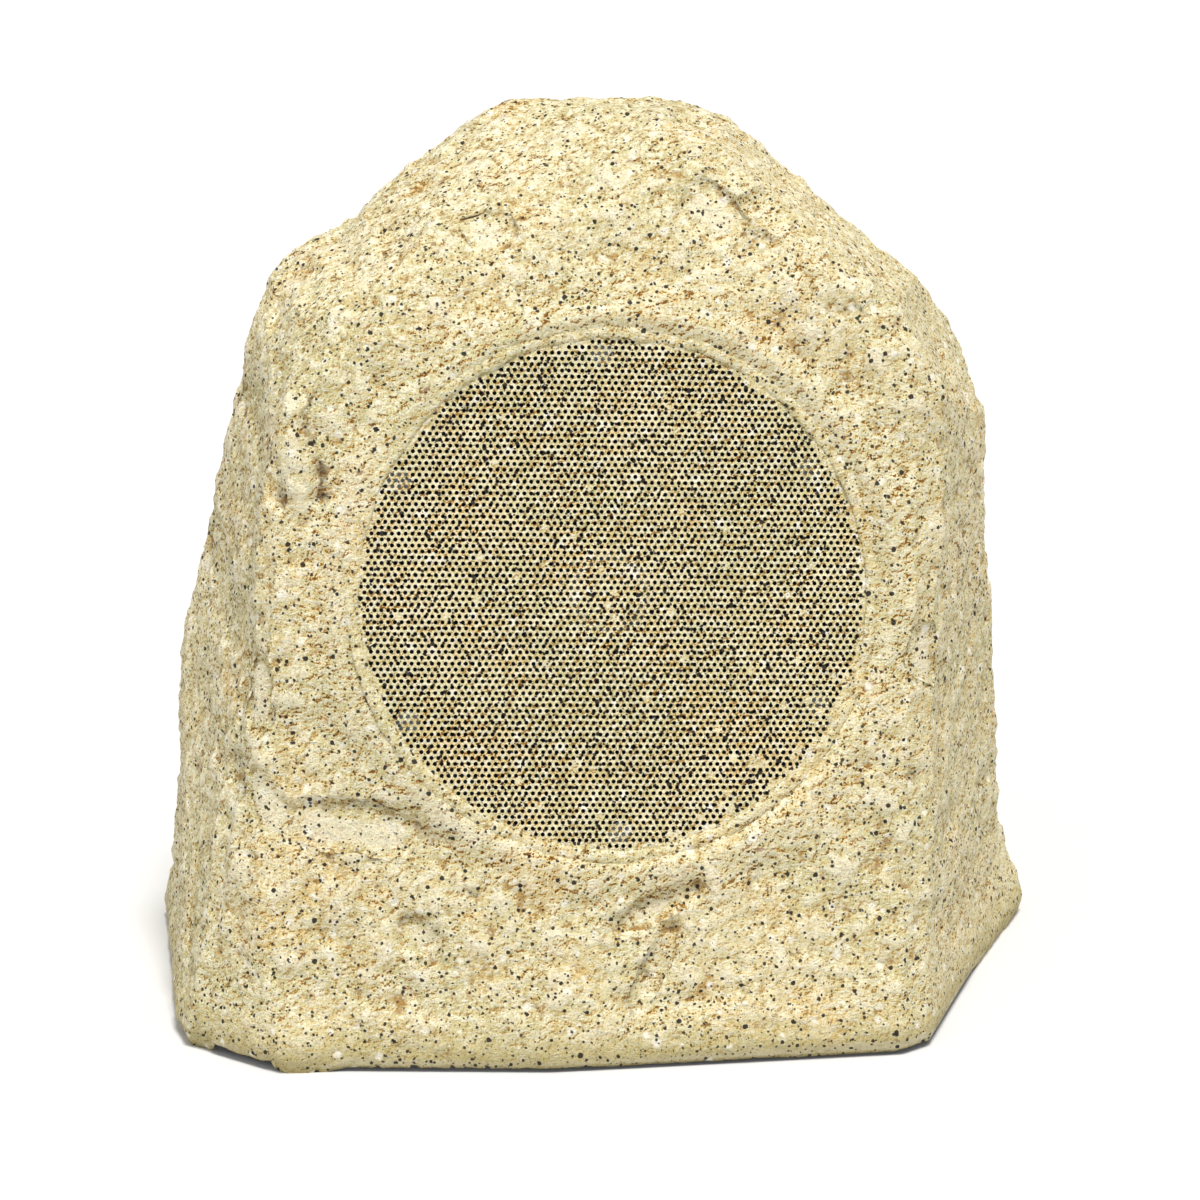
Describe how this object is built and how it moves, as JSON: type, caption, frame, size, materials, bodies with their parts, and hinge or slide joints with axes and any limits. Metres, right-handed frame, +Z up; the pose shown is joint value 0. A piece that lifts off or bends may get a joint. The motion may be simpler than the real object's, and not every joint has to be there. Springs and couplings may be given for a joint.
{
  "type": "rock shaped garden speaker",
  "caption": "Outdoor loudspeaker moulded as a rough sandstone boulder, with a round perforated grille over a coaxial driver in its leaning front face.",
  "frame": {"origin": "centre of the bounding box on the ground plane, where the rim of the shell rests", "axes": "+Z up, the grille looks towards -Y and leans back 15 degrees, the cable leaves towards +Y"},
  "size_m": [0.298, 0.266, 0.284],
  "materials": {
    "cast_stone": "stone-grit coat, matt",
    "painted_mesh": "stone-coloured paint, matt",
    "black_rubber": "matt",
    "black_paint": "matt",
    "cone_paper": "coated, matt",
    "spider_cloth": "resin-dipped cloth",
    "coil_former": "satin",
    "copper": "lacquered wire",
    "zinc_steel": "zinc plated",
    "ferrite": "matt",
    "grey_plastic": "satin",
    "black_plastic": "matt",
    "dome_silk": "doped silk",
    "circuit_board": "satin",
    "white_ceramic": "matt",
    "yellow_film": "gloss",
    "green_plastic": "satin"
  },
  "bodies": {
    "cabinet": {"rock_shell": "cast_stone", "grille": "painted_mesh", "driver_gasket": "black_rubber", "woofer_basket": "black_paint", "woofer_surround": "black_rubber", "woofer_spider": "spider_cloth", "top_plate": "zinc_steel", "woofer_magnet": "ferrite", "pole_yoke": "zinc_steel", "driver_screws": "zinc_steel", "tweeter_post": "zinc_steel", "tweeter_housing": "black_plastic", "tweeter_magnet": "zinc_steel", "tweeter_dome": "dome_silk", "tweeter_ring": "grey_plastic", "base_plate": "black_plastic", "base_gasket": "black_rubber", "base_screws": "zinc_steel", "crossover_board": "circuit_board", "board_screws": "zinc_steel", "crossover_inductor": "copper", "crossover_capacitor": "yellow_film", "crossover_resistor": "white_ceramic", "terminal_block": "green_plastic", "gland_body": "black_plastic", "gland_locknut": "black_plastic", "gland_seal": "black_rubber", "gland_nut": "black_plastic"},
    "cone_assembly": {"woofer_cone": "cone_paper", "voice_coil_former": "coil_former", "voice_coil_winding": "copper"}
  },
  "joints": [
    {"name": "cone_travel", "type": "slide", "parent": "cabinet", "child": "cone_assembly", "axis": [0, -0.9659, 0.2588], "range_m": [-0.004, 0.004], "stiffness_N_per_m": 1200, "deforming": ["woofer_surround", "woofer_spider"]}
  ]
}
